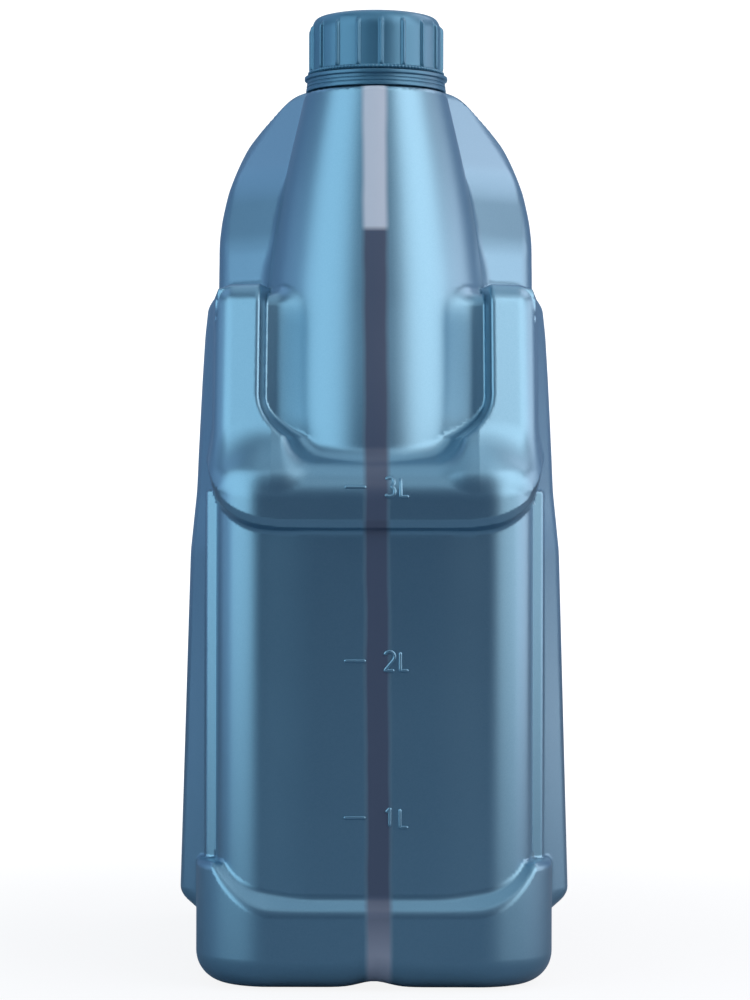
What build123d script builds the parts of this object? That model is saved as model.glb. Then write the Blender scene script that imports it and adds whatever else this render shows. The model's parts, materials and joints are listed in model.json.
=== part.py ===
"""Four-litre motor oil bottle: blow-moulded body, screw cap, tamper band, cap liner and the oil inside.

Millimetres, +Z up, origin on the floor below the middle of the base. The pouring spout faces -Y, the handle
is at +Y and the two broad sides with the raised panels face -X and +X.
"""

import os

from build123d import *

# Walls and clearances
wall = 1.6
oil_gap = 0.3
seat_gap = 0.05
turn_gap = 0.3
overrun = 12.0
flat_share = 0.75

# Base: rounded block that stands on a rim, with a rounded foot edge
base_half_width = 57.0
base_half_length = 96.0
base_corner = 24.0
base_round = 10.0
base_height = 39.0

# Underside: raised middle and the shallow pinch-off groove along the parting line
underside_rim = 12.0
underside_lift = 4.0
underside_draft = 40.0
pinch_half_width = 8.5
pinch_lift = 1.6

# Narrow faces, set back behind the base, with a sill that sags in the middle
face_setback = 3.5
face_half_width = 50.5
face_corner = 14.0
sill_end_drop = 3.5
sill_quarter_drop = 9.8
sill_sag = 10.4
sill_quarter_share = 0.71
sill_bevel = 4.2

# Upright edge strips beside the narrow faces
strip_width = 3.5
strip_setback = 18.0
strip_corner = 2.5

# Raised panels on the broad sides: stand proud of the strips at five levels
panel_bevel_run = 16.0
panel_foot = 20.0
panel_foot_rise = 6.0
panel_foot_stand = 2.5
panel_full_stand = 9.1
panel_knee = 137.6
panel_knee_stand = 6.0
panel_knee_rise = 19.4
panel_waist_stand = 4.0
panel_head = 218.2
panel_head_stand = 0.9
panel_head_rise = 3.8
panel_head_fall = 2.4
panel_tuck = 1.0
panel_head_tuck = 3.0
panel_head_setback = 10.0
panel_root = 12.0

# Shoulder bulge below the spout
bulge_half_width = 52.0
bulge_setback = 0.5
bulge_corner = 20.0
bulge_foot = 144.4
bulge_end_rise = 10.2
bulge_quarter_rise = 2.2
bulge_quarter_share = 0.78
bulge_lip = 3.0
bulge_front_height = 11.6
bulge_round = 10.0
bulge_turn = 66.0
shelf_run = 38.0

# Pillars on both sides of the spout
pillar_outer = 51.8
pillar_inner = 36.8
pillar_corner = 5.5
pillar_round = 9.0
pillar_foot_rise = 15.6
pillar_foot_setback = 9.3
pillar_height = 63.0
pillar_lean = 18.0
pillar_depth = 76.0
pillar_flare = 8.0
pillar_flare_top_rise = 28.0
pillar_flare_height = 14.0

# Pouring spout: circles that narrow toward the neck
neck_setback = 63.5
spout_foot_radius = 38.0
spout_foot_offset = 15.7
spout_waist_drop = 68.5
spout_waist_radius = 36.0
spout_waist_offset = 3.4
spout_throat_drop = 34.5
spout_throat_radius = 31.3
spout_top_radius = 23.5
shoulder_height = 289.5

# Upper body behind the spout: front outline with sloping shoulders
upper_half_width = 53.2
upper_foot_rise = 5.6
upper_crown = 296.5
upper_crown_half_width = 32.1
upper_crown_round = 12.0
upper_side_height = 111.0
upper_side_round = 76.0

# Cheeks that cut the upper body back on both sides of the spout, further back with the height
cheek_angle = 42.0
cheek_front_half_width = 22.0
cheek_foot_setback = 31.6
cheek_break = 240.0
cheek_break_setback = 52.0
cheek_turn = 262.0
cheek_turn_setback = 62.0
cheek_head_setback = 116.0
cheek_round = 40.0

# Handle gap cut out of the upper rear corner, and the hollow handle across it
gap_top_setback = 76.0
gap_top = 262.0
gap_lower_setback = 54.0
gap_lower = 186.0
gap_heel_setback = 36.0
gap_heel = 171.0
gap_rear = 160.0
gap_round = 16.0
gap_draft = 14.0
handle_width = 36.0
handle_depth = 28.0
handle_round = 11.0
handle_setback = 18.5
handle_top = 288.0
handle_bend = 30.0
handle_root = 20.0
handle_drop = 130.0

# Neck finish
neck_radius = 18.6
neck_bore_radius = 16.0
neck_height = 20.5
bead_radius = 20.2
bead_rise = 2.3
bead_height = 1.4

# Screw cap
cap_wall = 1.7
cap_bore_radius = 19.9
cap_foot_rise = 5.7
cap_crown_radius = 16.4
cap_crown_height = 4.4
cap_edge_radius = 20.4
cap_edge_drop = 1.1
cap_roof = 3.9
cap_rim_width = 1.0
cap_rim_height = 1.4
cap_rib_count = 18
cap_rib_phase = -85.8
cap_rib_stand = 0.95
cap_rib_root = 1.7
cap_rib_tip = 0.9
cap_rib_foot_rise = 1.4
cap_rib_height = 13.4

# Tamper band
band_lift = 0.2
band_foot_radius = 23.4
band_waist_radius = 23.0
band_flange_radius = 23.9
band_flange_height = 1.3
band_height = 5.1
band_bore_radius = 20.6
band_lug_radius = 19.4
band_lug_height = 1.2

# Cap liner and oil level
liner_thickness = 1.2
oil_level = 241.6

# Derived lengths
face_half_length = base_half_length - face_setback
strip_half_width = face_half_width + strip_width
strip_half_length = face_half_length - strip_setback
panel_half_length = strip_half_length - panel_bevel_run
bulge_half_length = base_half_length - bulge_setback
bulge_front_top = bulge_foot + bulge_front_height
upper_foot = bulge_foot + upper_foot_rise
neck_y = neck_setback - base_half_length
neck_rim = shoulder_height + neck_height
cap_foot = shoulder_height + cap_foot_rise
cap_radius = cap_bore_radius + cap_wall


def softened(edges, radius, inset):
    """Round edges on the outer form and flat ones on the inner forms, kept within the round."""
    if inset > 0:
        return chamfer(edges, (radius - inset) * flat_share)
    return fillet(edges, radius)


def shrunk(plan, inset):
    """Flat outline moved inward by inset, or outward where inset is negative."""
    if inset == 0:
        return plan
    return offset(plan, -inset)


def upright(half_width, half_length, corner, foot, head):
    """Block with a rounded rectangular plan between two levels."""
    plan = RectangleRounded(half_width + half_width, half_length + half_length, corner)
    return extrude(Plane.XY.offset(foot) * plan, head - foot)


def curved_edge_outline(half_width, quarter_share, end, quarter, middle, far):
    """Upright outline between a sagging curve and a straight edge at the level far."""
    quarter_x = half_width * quarter_share
    left = [(-half_width, end), (-quarter_x, quarter)]
    right = [(quarter_x, quarter), (half_width, end)]
    low_curve = Spline(*left, (0, middle), *right)
    sides = Polyline((half_width, end), (half_width, far), (-half_width, far), (-half_width, end))
    return make_face(low_curve + sides)


def sill_outline(outset, drop):
    """Opening of the narrow face above the sagging sill, moved down by drop."""
    top = base_height - outset - drop
    end = top - sill_end_drop
    quarter = top - sill_quarter_drop
    middle = top - sill_sag
    half_width = face_half_width + outset
    far = base_height + overrun
    return curved_edge_outline(half_width, sill_quarter_share, end, quarter, middle, far)


def base_block(inset):
    """Base with its rounded foot edge and the sagging sills of both narrow faces."""
    half_width = base_half_width - inset
    half_length = base_half_length - inset
    block = upright(half_width, half_length, base_corner - inset, inset, base_height - inset)
    block = softened(block.faces().sort_by(Axis.Z)[0].edges(), base_round, inset)
    face_y = face_half_length - inset
    straight = extrude(Plane.XZ * sill_outline(inset, 0), face_y)
    floor_section = Plane.XZ.offset(face_y) * sill_outline(inset, 0)
    outer_section = Plane.XZ.offset(face_y + face_setback) * sill_outline(inset, sill_bevel)
    relief = straight + loft([floor_section, outer_section], ruled=True)
    return block - relief - mirror(relief, Plane.XZ)


def middle_block(inset):
    """Narrow faces with rounded corners and the upright edge strips, higher at the rear."""
    head = gap_heel + overrun
    face_half = face_half_width - inset
    faces = upright(face_half, face_half_length - inset, face_corner - inset, base_round, head)
    strips = upright(strip_half_width - inset, strip_half_length - inset, strip_corner, base_round, head)
    front_head = bulge_front_top - inset
    front_room = Box(
        base_half_length * 2, base_half_length, head, align=(Align.CENTER, Align.MAX, Align.MIN)
    )
    return faces + strips - Pos(0, 0, front_head) * front_room


def panel_section(inset, level, stand, tuck, setback):
    """Plan of one raised panel at one level: a flat side and bevelled ends."""
    root_x = strip_half_width - panel_root
    edge_x = strip_half_width - tuck - inset
    edge_y = strip_half_length - setback - inset
    side_x = strip_half_width + stand - inset
    side_y = panel_half_length - inset
    corners = [
        (root_x, -edge_y),
        (edge_x, -edge_y),
        (side_x, -side_y),
        (side_x, side_y),
        (edge_x, edge_y),
        (root_x, edge_y),
    ]
    return Plane.XY.offset(level) * make_face(Polyline(*corners, close=True))


def panel_block(inset):
    """Raised panels of both broad sides, wider at the foot, with bevelled edges all round."""
    top = panel_head + panel_head_rise - inset
    top_stand = panel_head_stand - panel_head_fall
    sections = [
        panel_section(inset, panel_foot + inset, panel_foot_stand, panel_tuck, 0),
        panel_section(inset, panel_foot + panel_foot_rise, panel_full_stand, panel_tuck, 0),
        panel_section(inset, panel_knee, panel_knee_stand, panel_tuck, 0),
        panel_section(inset, panel_knee + panel_knee_rise, panel_waist_stand, panel_head_tuck, 0),
        panel_section(inset, panel_head, panel_head_stand, panel_head_tuck, panel_head_setback),
        panel_section(inset, top, top_stand, panel_head_tuck, panel_head_setback),
    ]
    panel = loft(sections, ruled=True)
    return panel + mirror(panel, Plane.YZ)


def bulge_block(inset):
    """Shoulder bulge: a rounded front, a sagging lower lip and a shelf that rises toward the back."""
    front_y = inset - bulge_half_length
    foot = bulge_foot - overrun
    upright_edge = Line((front_y, foot), (front_y, bulge_front_top))
    nose = JernArc(upright_edge @ 1, (0, 1), bulge_round - inset, -bulge_turn)
    shelf = Line(nose @ 1, (nose @ 1) + (nose % 1) * shelf_run)
    back = Polyline(shelf @ 1, (0, (shelf @ 1).Y), (0, foot), (front_y, foot))
    profile = make_face(upright_edge + nose + shelf + back)
    block = extrude(Plane.YZ * profile, bulge_half_width - inset, both=True)
    plan_head = (shelf @ 1).Y + overrun
    block = block & upright(
        bulge_half_width - inset, bulge_half_length - inset, bulge_corner - inset, foot, plan_head
    )
    face_y = face_half_length - inset
    floor_section = Plane.XZ.offset(face_y) * lip_outline(inset, 0)
    outer_section = Plane.XZ.offset(face_y + bulge_lip) * lip_outline(inset, bulge_lip)
    below = extrude(Plane.XZ * lip_outline(inset, 0), face_y)
    return block - below - loft([floor_section, outer_section], ruled=True)


def lip_outline(outset, rise):
    """What lies below the sagging lower lip of the bulge, moved up by rise."""
    middle = bulge_foot + outset + rise
    half_width = bulge_half_width + outset
    end = middle + bulge_end_rise
    quarter = middle + bulge_quarter_rise
    far = bulge_foot - overrun - overrun
    return curved_edge_outline(half_width, bulge_quarter_share, end, quarter, middle, far)


def pillar_profile(inset):
    """Side view of a pillar: a front that leans back and a round head."""
    foot = bulge_foot + pillar_foot_rise
    head = foot + pillar_height
    front_y = pillar_foot_setback - base_half_length
    rear_y = front_y + pillar_depth
    corners = [(front_y, foot), (front_y + pillar_lean, head), (rear_y, head), (rear_y, foot)]
    radii = [0, pillar_round, 0, 0]
    return shrunk(make_face(FilletPolyline(*corners, radius=radii, close=True)), inset)


def pillar_outline(inset):
    """Front view of a pillar: upright sides, and an inner side that flares into the shelf at its foot."""
    foot = bulge_foot
    head = foot + pillar_foot_rise + pillar_height + overrun
    flare_top = foot + pillar_flare_top_rise + pillar_foot_rise
    flare_x = pillar_inner - pillar_flare
    inner_side = Line((pillar_inner, head), (pillar_inner, flare_top))
    flare = TangentArc(inner_side @ 1, (flare_x, flare_top - pillar_flare_height), tangent=(0, -1))
    outer_side = Line((pillar_outer, foot), (pillar_outer, head))
    others = Polyline(flare @ 1, (flare_x, foot), outer_side @ 0, outer_side @ 1, inner_side @ 0)
    return shrunk(make_face(inner_side + flare + others), inset)


def pillar_block(inset):
    """Pillars that flank the spout, with softened outer edges."""
    pillar = extrude(Plane.YZ * pillar_profile(inset), base_half_width)
    pillar = pillar & extrude(Plane.XZ * pillar_outline(inset), base_half_length)
    outer_side = pillar.faces().sort_by(Axis.X)[-1]
    front_edges = outer_side.edges().sort_by(Axis.Y)[:2]
    pillar = softened(front_edges, pillar_corner, inset)
    return pillar + mirror(pillar, Plane.YZ)


def spout_block(inset):
    """Pouring spout: round sections that lean back and narrow to the neck."""
    foot = bulge_foot + pillar_foot_rise
    sections = [
        spout_section(spout_foot_radius - inset, spout_foot_offset, foot),
        spout_section(spout_waist_radius - inset, spout_waist_offset, shoulder_height - spout_waist_drop),
        spout_section(spout_throat_radius - inset, 0, shoulder_height - spout_throat_drop),
        spout_section(spout_top_radius - inset, 0, shoulder_height - inset),
    ]
    return loft(sections, ruled=inset > 0)


def spout_section(radius, offset_y, level):
    """Round section of the spout, moved toward the front by offset_y."""
    return Plane.XY.offset(level) * Pos(0, neck_y - offset_y) * Circle(radius)


def upper_outline(inset):
    """Front view of the upper body: upright sides, sloping shoulders and a flat crown."""
    side_head = upper_foot + upper_side_height
    side = [(upper_half_width, upper_foot), (upper_half_width, side_head)]
    right = [*side, (upper_crown_half_width, upper_crown)]
    left = [(-x, z) for x, z in reversed(right)]
    radii = [0, upper_side_round, upper_crown_round, upper_crown_round, upper_side_round, 0]
    return shrunk(make_face(FilletPolyline(*right, *left, radius=radii, close=True)), inset)


def cheek_room(outset):
    """Side view of the room in front of the cheeks, which lie further back with the height."""
    foot = upper_foot - overrun
    head = upper_crown + overrun
    far_y = -base_half_length - base_half_length
    corners = [
        (cheek_foot_setback - base_half_length, foot),
        (cheek_break_setback - base_half_length, cheek_break),
        (cheek_turn_setback - base_half_length, cheek_turn),
        (cheek_head_setback - base_half_length, head),
    ]
    profile = FilletPolyline(*corners, radius=cheek_round)
    others = Polyline(profile @ 1, (far_y, head), (far_y, foot), profile @ 0)
    return shrunk(make_face(profile + others), -outset)


def upper_block(inset):
    """Upper body: the shoulders' outline carried from front to rear and cut back by the two cheeks."""
    rear_y = strip_half_length - inset
    block = extrude(Plane.XZ.offset(-rear_y) * upper_outline(inset), rear_y + base_half_length)
    front_room = extrude(Plane.YZ * cheek_room(inset), cheek_front_half_width, both=True)
    slant = Vector(1, 0, 0).rotate(Axis.Z, cheek_angle)
    lean_out = inset / slant.X
    side_plane = Plane.YZ.offset(cheek_front_half_width)
    side_room = extrude(side_plane * cheek_room(lean_out), base_half_length, dir=slant)
    return block - front_room - side_room - mirror(side_room, Plane.YZ)


def handle_gap(outset):
    """What is cut away for the fingers: the upper rear corner, wider toward both broad sides."""
    far_y = base_half_length + overrun
    far_z = neck_rim + overrun
    corners = [
        (base_half_length - gap_top_setback, far_z),
        (base_half_length - gap_top_setback, gap_top),
        (base_half_length - gap_lower_setback, gap_lower),
        (base_half_length - gap_heel_setback, gap_heel),
        (far_y, gap_rear),
        (far_y, far_z),
    ]
    outline = shrunk(make_face(FilletPolyline(*corners, radius=gap_round, close=True)), -outset)
    reach = base_half_width + overrun
    half = extrude(Plane.YZ * outline, reach, taper=-gap_draft)
    return half + mirror(half, Plane.YZ)


def handle_bar(inset):
    """Hollow handle: a rounded section carried back from the shoulders and down into the rear body."""
    grip_y = base_half_length - handle_setback
    grip_z = handle_top - handle_depth / 2
    root = (neck_y + handle_root, grip_z)
    end = (grip_y, grip_z - handle_drop)
    path = Plane.YZ * FilletPolyline(root, (grip_y, grip_z), end, radius=handle_bend)
    section = Rectangle(handle_width - inset - inset, handle_depth - inset - inset)
    section = softened(section.vertices(), handle_round, inset)
    start = Plane(origin=path @ 0, x_dir=(1, 0, 0), z_dir=path % 0)
    return sweep(start * section, path)


def underside(outset):
    """What is cut away below: the raised middle and the pinch-off groove."""
    half_width = base_half_width - base_round - underside_rim + outset
    half_length = base_half_length - base_round - underside_rim + outset
    plan = RectangleRounded(half_width + half_width, half_length + half_length, underside_rim)
    middle = extrude(plan, underside_lift + outset, taper=underside_draft)
    groove_radius = (pinch_half_width**2 + pinch_lift**2) / (pinch_lift + pinch_lift)
    groove_z = pinch_lift - groove_radius
    groove = Pos(0, 0, groove_z) * Rot(90, 0, 0) * Cylinder(groove_radius + outset, base_half_length * 3)
    return middle + groove


def bottle_form(inset):
    """Closed form of the bottle below the neck, moved inward everywhere by inset."""
    form = base_block(inset) + middle_block(inset) + panel_block(inset) + upper_block(inset)
    form = form + bulge_block(inset) + pillar_block(inset) + spout_block(inset)
    form = form - handle_gap(inset) + handle_bar(inset)
    return form - underside(inset)


def disc(radius, foot, head):
    """Plain disc about the neck's axis between two levels."""
    return extrude(Plane.XY.offset(foot) * Pos(0, neck_y) * Circle(radius), head - foot)


def turned(points):
    """Solid turned about the neck's axis from a closed outline of radius and level."""
    profile = make_face(Polyline(*points, close=True))
    return Pos(0, neck_y) * revolve(Plane.XZ * profile, Axis.Z)


# Bottle body: outer form and neck, hollowed by the same form moved inward by the wall
bead_foot = shoulder_height + bead_rise
outside = bottle_form(0)
neck = disc(neck_radius, shoulder_height - wall, neck_rim)
neck = neck + disc(bead_radius, bead_foot, bead_foot + bead_height)
cavity = bottle_form(wall)
bore = disc(neck_bore_radius, shoulder_height - spout_throat_drop, neck_rim + overrun)
bottle_body = outside + neck - cavity - bore

# Screw cap: skirt, crown, rim and ribs
liner_foot = neck_rim + seat_gap
roof_z = liner_foot + liner_thickness + seat_gap
cap_top = roof_z + cap_roof
crown_foot = cap_top - cap_crown_height
shell = turned(
    [
        (0, cap_foot),
        (cap_radius + cap_rim_width, cap_foot),
        (cap_radius + cap_rim_width, cap_foot + cap_rim_height),
        (cap_radius, cap_foot + cap_rim_height),
        (cap_radius, crown_foot),
        (cap_edge_radius, cap_top - cap_edge_drop),
        (cap_crown_radius, cap_top),
        (0, cap_top),
    ]
)
rib_plan = make_face(
    Polyline(
        (-cap_wall / 2, -cap_rib_root / 2),
        (cap_rib_stand, -cap_rib_tip / 2),
        (cap_rib_stand, cap_rib_tip / 2),
        (-cap_wall / 2, cap_rib_root / 2),
        close=True,
    )
)
rib = extrude(Plane.XY.offset(cap_foot + cap_rib_foot_rise) * rib_plan, cap_rib_height)
ribs = Pos(0, neck_y) * PolarLocations(cap_radius, cap_rib_count, cap_rib_phase) * rib
screw_cap = shell + ribs - disc(cap_bore_radius, cap_foot - overrun, roof_z)

# Tamper band: flange above, lug below the neck's bead
band_foot = shoulder_height + band_lift
band_top = band_foot + band_height
flange_foot = band_top - band_flange_height
lug_top = band_foot + band_lug_height
tamper_band = turned(
    [
        (band_lug_radius, band_foot),
        (band_foot_radius, band_foot),
        (band_waist_radius, flange_foot),
        (band_flange_radius, flange_foot),
        (band_flange_radius, band_top),
        (band_bore_radius, band_top),
        (band_bore_radius, lug_top),
        (band_lug_radius, lug_top),
    ]
)

# Cap liner and oil
cap_liner = disc(cap_bore_radius - turn_gap, liner_foot, liner_foot + liner_thickness)
oil_span = base_half_length * 4
oil_limit = Pos(0, 0, oil_level / 2) * Box(oil_span, oil_span, oil_level)
oil_fill = bottle_form(wall + oil_gap) & oil_limit

os.makedirs("parts", exist_ok=True)
export_step(bottle_body, "parts/bottle_body.step")
export_step(screw_cap, "parts/screw_cap.step")
export_step(tamper_band, "parts/tamper_band.step")
export_step(cap_liner, "parts/cap_liner.step")
export_step(oil_fill, "parts/oil_fill.step")
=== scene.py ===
# %% [markdown]
# # A motor oil bottle
# The frame holds the real construction of the bottle: a blown body, a screw cap, a tamper band, a liner and
# the oil. This lesson dresses it. The blown body gets soft edges, the cap gets its ribs and beads, the neck its
# thread, and every surface gets a finish of its own. All lengths of the forms are in millimetres, and they turn
# into metres only when a mesh is made.

import json
import math

import bmesh
import bpy
import numpy as np
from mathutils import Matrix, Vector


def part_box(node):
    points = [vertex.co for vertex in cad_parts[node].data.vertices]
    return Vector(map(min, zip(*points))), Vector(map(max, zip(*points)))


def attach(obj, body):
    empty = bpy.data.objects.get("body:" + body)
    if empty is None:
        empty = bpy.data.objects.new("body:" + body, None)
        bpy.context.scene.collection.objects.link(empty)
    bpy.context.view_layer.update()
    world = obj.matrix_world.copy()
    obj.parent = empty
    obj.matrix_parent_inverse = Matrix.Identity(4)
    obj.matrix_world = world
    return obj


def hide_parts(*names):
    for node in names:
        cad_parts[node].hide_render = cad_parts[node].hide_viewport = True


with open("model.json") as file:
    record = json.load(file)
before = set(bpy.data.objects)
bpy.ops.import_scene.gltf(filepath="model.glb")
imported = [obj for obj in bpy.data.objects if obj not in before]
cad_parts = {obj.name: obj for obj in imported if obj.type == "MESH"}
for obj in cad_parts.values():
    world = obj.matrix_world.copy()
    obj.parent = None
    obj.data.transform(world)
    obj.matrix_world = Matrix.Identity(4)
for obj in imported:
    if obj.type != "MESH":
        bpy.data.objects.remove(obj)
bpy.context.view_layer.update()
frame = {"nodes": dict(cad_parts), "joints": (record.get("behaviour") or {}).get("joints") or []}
MM = 0.001
neck_joint = next(joint for joint in frame["joints"] if joint["name"] == "cap_turn")
neck_y = neck_joint["pos_m"][1] / MM


def node_box(name):
    """Lowest and highest corner of a CAD node in millimetres."""
    low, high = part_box(name)
    return np.array(low) / MM, np.array(high) / MM


body_low, body_high = node_box("bottle_body")
front = body_low[1]
print("body box in millimetres", body_low.round(1), body_high.round(1))

# %% [markdown]
# ## Forms as distance fields
# A blown bottle has no sharp edges: the plastic sags into every corner of the mould. Bevels on a polygon
# model would have to meet in difficult corners, so the body is written as a field instead: a function that is
# negative inside and tells how far a point is from the surface. Two fields join with a hollow fillet, or trim
# each other with a rounded edge, by one formula each.


# %% Field tools
def rounded_plan(x, y, half_x, half_y, corner):
    """Distance to a rounded rectangle: the distance to the inner rectangle, less the corner radius."""
    beyond_x = np.abs(x) - half_x + corner
    beyond_y = np.abs(y) - half_y + corner
    outside = np.hypot(np.maximum(beyond_x, 0), np.maximum(beyond_y, 0))
    return outside + np.minimum(np.maximum(beyond_x, beyond_y), 0) - corner


def joined(a, b, radius):
    """Both forms as one, with a hollow fillet: within the radius the two distances are the legs of a corner."""
    legs = np.hypot(np.maximum(radius - a, 0), np.maximum(radius - b, 0))
    return np.maximum(radius, np.minimum(a, b)) - legs


def trimmed(a, b, radius):
    """What two forms have in common, with a rounded edge of that radius."""
    legs = np.hypot(np.maximum(radius + a, 0), np.maximum(radius + b, 0))
    return np.minimum(-radius, np.maximum(a, b)) + legs


def eased(t):
    """Smooth step from 0 to 1: three squares less two cubes."""
    t = np.clip(t, 0, 1)
    return t * t * (3 - 2 * t)


def smooth_through(z, levels, values):
    """Curve through a few points: cubic pieces whose slope at each point is that of its neighbours."""
    levels = np.array(levels, float)
    values = np.array(values, float)
    slopes = np.gradient(values, levels)
    z = np.clip(z, levels[0], levels[-1])
    i = np.clip(np.searchsorted(levels, z) - 1, 0, len(levels) - 2)
    span = levels[i + 1] - levels[i]
    t = (z - levels[i]) / span
    a, b = values[i], values[i + 1]
    p, q = slopes[i] * span, slopes[i + 1] * span
    return a + t * (p + t * (3 * (b - a) - 2 * p - q + t * (2 * (a - b) + p + q)))


two_walls = np.array([1.0, 1.0])
print("1 mm off two walls, joined with a 4 mm fillet, the field is", joined(*two_walls, 4.0).round(2), "mm")

# %% [markdown]
# ## The lower body
# The base stands on a rim. Above it the narrow faces are set back behind a sill that sags in the middle, slim
# strips run up beside them, and the broad sides carry raised panels with bevelled ends. They could be extruded
# from outlines one by one, but the sill and the panels change their section all the time, and a field follows
# that with one formula for the height or the stand.


# %% Base
base_half_width, base_half_depth, base_corner, base_top = 57, 96, 24, 39.5
face_half_width, face_half_depth, face_corner = 50.5, 92.5, 15
sill_low, sill_rise, sill_half_width, sill_slope = 28.6, 12, 54.6, 1.2


def base_form(x, y, z):
    """Rounded block cut by a sill: the sill's height grows with the seventh power of the place across."""
    plan = rounded_plan(x, y, base_half_width, base_half_depth, base_corner)
    groove = 1.9 * np.exp(-((x / 6.5) ** 2))
    raised = 4 * eased(-rounded_plan(x, y, 34, 73, 12) / 5)
    block = trimmed(plan, groove + raised - z, 10)
    block = trimmed(block, z - base_top, 2.5)
    sill = sill_low + sill_rise * (np.abs(x) / sill_half_width) ** 7
    behind_face = rounded_plan(x, y, face_half_width, face_half_depth, face_corner)
    depth = 0.65 * (face_half_depth - np.abs(y)) - 0.35 * behind_face
    slope = (z - sill - sill_slope * depth) / np.hypot(1, sill_slope)
    return trimmed(block, slope, 1.2)


print("the base's front is", round(abs(float(base_form(0.0, front, 20.0))), 2), "mm off the CAD's front")

# %% Faces and panels
side_plane = 54
strip_end = 75.5
hidden_foot = 14


def face_form(x, y, z):
    """Narrow faces, slightly crowned and with round corners, and the strips beside them."""
    across = np.abs(x)
    crown = 1.5 * eased((across - 18) / 24) * (y < 0)
    face = rounded_plan(x, np.abs(y) + crown, face_half_width, face_half_depth, face_corner)
    strip = trimmed(across - side_plane, 0.906 * (np.abs(y) - strip_end) + 0.42 * (across - 52.2), 0.6)
    strip = np.maximum(strip, 46 - across)
    top = 157 + 25 * eased((y + 20) / 40)
    return trimmed(np.minimum(face, strip), np.maximum(z - top, hidden_foot - z), 0.8)


def panel_stand(z):
    """How far the raised panel stands out: straight runs between levels, softened over a few millimetres."""
    levels = (12, 20, 26, 137.6, 157, 194, 208, 218, 221.6, 226)
    stands = (-5, 2.5, 9.1, 6.0, 4.0, 2.6, 1.9, 0.9, -2.4, -4)
    return sum(np.interp(z + step, levels, stands) for step in (-2, -1, 0, 1, 2)) / 5


def panel_form(x, y, z):
    """Raised panel: a side that follows its stand, trimmed by bevelled ends."""
    across = np.abs(x)
    stand = panel_stand(z)
    steep = panel_stand(z + 0.5) - panel_stand(z - 0.5)
    side = (across - side_plane - stand) / np.hypot(1, steep)
    edge_y = 72 - 8 * eased((z - 157) / 60)
    edge_x = 53.5 - 2 * eased((z - 137) / 20)
    out = np.maximum(side_plane + stand - edge_x, 0.5)
    run = 12.5
    bevel = (run * (across - edge_x) + out * (np.abs(y) - edge_y)) / np.hypot(run, out)
    panel = trimmed(side, np.maximum(bevel, np.abs(y) - edge_y), 1.6)
    return np.maximum(panel, np.maximum(np.maximum(z - 222.5, hidden_foot - z), 44 - across))


stands = panel_stand(np.array([30.0, 137.6, 208.0])).round(1)
print("the panels stand out by", stands, "mm low, midway and high")

# %% [markdown]
# ## The shoulder
# A bulge runs across below the spout. Its shelf rises into two pillars, and the spout comes out between them
# and narrows to the neck. Behind it the wings slope down to both sides. Modelled as polygons, these parts would
# need a patch of their own for every meeting. As fields each is a few planes or a circle, and the meetings come
# from the rounded joins.


# %% Bulge and pillars
shoulder_half_width, shoulder_front, shoulder_corner = 51.9, 95.5, 17
pillar_head, pillar_scale = 224, 0.926
pocket_half_width = 36.8
valley_depth = 10
lip_low, lip_rise = 145.2, 10.5


def bulge_profile(y, z):
    """Front and shelf of the bulge, rounded into each other."""
    shelf = -0.407 * (y + 85.5) + 0.914 * (z - 156) - 10
    return trimmed(-shoulder_front - y, shelf, 8)


def pillar_front(z):
    """Where a pillar's front stands at each height: a straight line that leans back."""
    return -83 + 0.2857 * (z - 173)


def pillar_form(across, y, z):
    """Pillar: a front that leans back and turns outward, a round head, and a flared inner side with draft."""
    face_y = pillar_front(z)
    lean = pillar_scale * (face_y + 0.31 * np.maximum(across - 42, -9) - y)
    pocket = pocket_half_width - 8 * np.clip((188 - z) / 14, 0, 1) ** 2
    inner = 0.99 * (pocket - across) - 0.12 * np.clip(y - face_y, 0, 40)
    return trimmed(trimmed(lean, z - pillar_head, 6.3), inner, 1.7)


def valley_form(across, y, z):
    """Bottom of the valley between spout and pillar: a plane that leans like the pillar, behind its front."""
    bottom = pillar_scale * (pillar_front(z) + valley_depth - y)
    return trimmed(bottom, np.maximum(np.maximum(across - 40, np.abs(z - 194) - 27), y + 40), 4)


def shoulder_form(x, y, z):
    """Bulge and pillars as one front with round corners, closed below by the lip's bevel and underside."""
    across = np.abs(x)
    bulge = trimmed(bulge_profile(y, z), across - shoulder_half_width, shoulder_corner)
    pillar = trimmed(pillar_form(across, y, z), across - shoulder_half_width, 6)
    plan = rounded_plan(x, y, shoulder_half_width, shoulder_front, shoulder_corner)
    lip = lip_low + lip_rise * (across / 51.5) ** 6.5
    bevel = 0.927 * plan + 0.375 * (lip + 2.4 - z)
    under = 0.5 * (plan + 0.97) + 0.866 * (lip - z)
    shoulder = joined(bulge, pillar, 0.5 + 10 * eased((z - 150) / 14))
    shoulder = trimmed(trimmed(shoulder, bevel, 0.08), under, 0.1)
    return np.maximum(shoulder, y - 10)


lean_back = pillar_front(pillar_head) - pillar_front(173)
print("the pillars lean back by", round(lean_back, 1), "mm over their height")

# %% Spout and wings
neck_foot = 289.5
spout_levels = (150, 160, 221, 255, neck_foot)
spout_radii = (38.2, 38, 36, 31.3, 23.5)
spout_leans = (16.5, 15.7, 3.4, 0, 0)


def spout_form(x, y, z):
    """Round spout: its radius and its lean toward the front follow smooth curves of the height."""
    radius = smooth_through(z, spout_levels, spout_radii)
    lean = smooth_through(z, spout_levels, spout_leans)
    round_wall = 0.97 * (np.hypot(x, y - neck_y + lean) - radius)
    return trimmed(round_wall, np.maximum(z - neck_foot, 150 - z), 1.2)


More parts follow.
